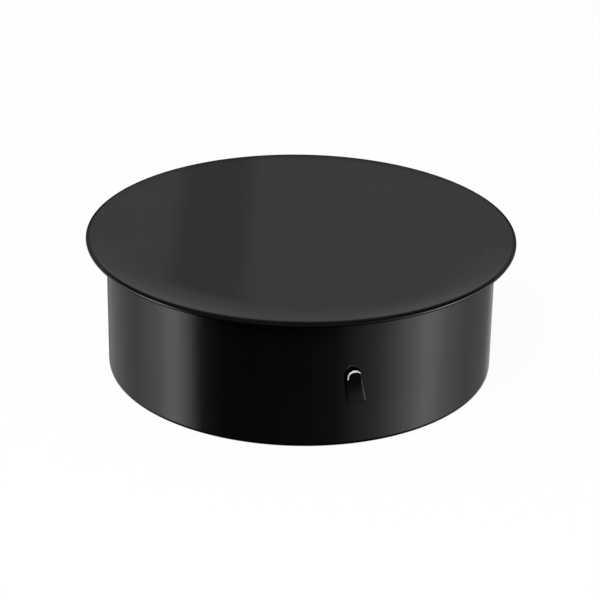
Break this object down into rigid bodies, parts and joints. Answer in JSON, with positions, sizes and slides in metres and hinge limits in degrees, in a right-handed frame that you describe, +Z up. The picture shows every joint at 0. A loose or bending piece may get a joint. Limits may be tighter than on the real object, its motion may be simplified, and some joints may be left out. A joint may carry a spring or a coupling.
{
  "type": "chimney rain cap",
  "caption": "Black sheet-steel end cap for a round flue pipe: a flat folded-edge lid on a short open collar, held inside the pipe by sprung tongues.",
  "frame": {"origin": "centre of the collar's lower rim, on which the cap stands", "axes": "+Z up through the lid, which is the cap's shortest extent; -Y is the front, with one spring tongue just to the right of it; the lap seam is at +Y"},
  "size_m": [0.1644, 0.1644, 0.0532],
  "materials": {
    "black_paint": "semi-gloss black stove paint on sheet steel, with fine orange peel",
    "tongue_paint": "semi-gloss black stove paint, worn to bare steel on the cut edge at the tip"
  },
  "bodies": {
    "cap": {"lid": "black_paint", "collar": "black_paint", "collar_flange": "black_paint"},
    "tongue_1": {"spring_tongue_1": "tongue_paint"},
    "tongue_2": {"spring_tongue_2": "tongue_paint"},
    "tongue_3": {"spring_tongue_3": "tongue_paint"}
  },
  "joints": [
    {"name": "tongue_1_flex", "type": "hinge", "parent": "cap", "child": "tongue_1", "pos_m": [0.0208, -0.07115, 0.017], "axis": [-0.9598, -0.2807, 0], "range_deg": [0, 12], "stiffness_Nm_per_rad": 0.6},
    {"name": "tongue_2_flex", "type": "hinge", "parent": "cap", "child": "tongue_2", "pos_m": [0.05121, 0.05359, 0.017], "axis": [0.723, -0.6909, 0], "range_deg": [0, 12], "stiffness_Nm_per_rad": 0.6},
    {"name": "tongue_3_flex", "type": "hinge", "parent": "cap", "child": "tongue_3", "pos_m": [-0.07202, 0.01756, 0.017], "axis": [0.2368, 0.9715, 0], "range_deg": [0, 12], "stiffness_Nm_per_rad": 0.6}
  ]
}
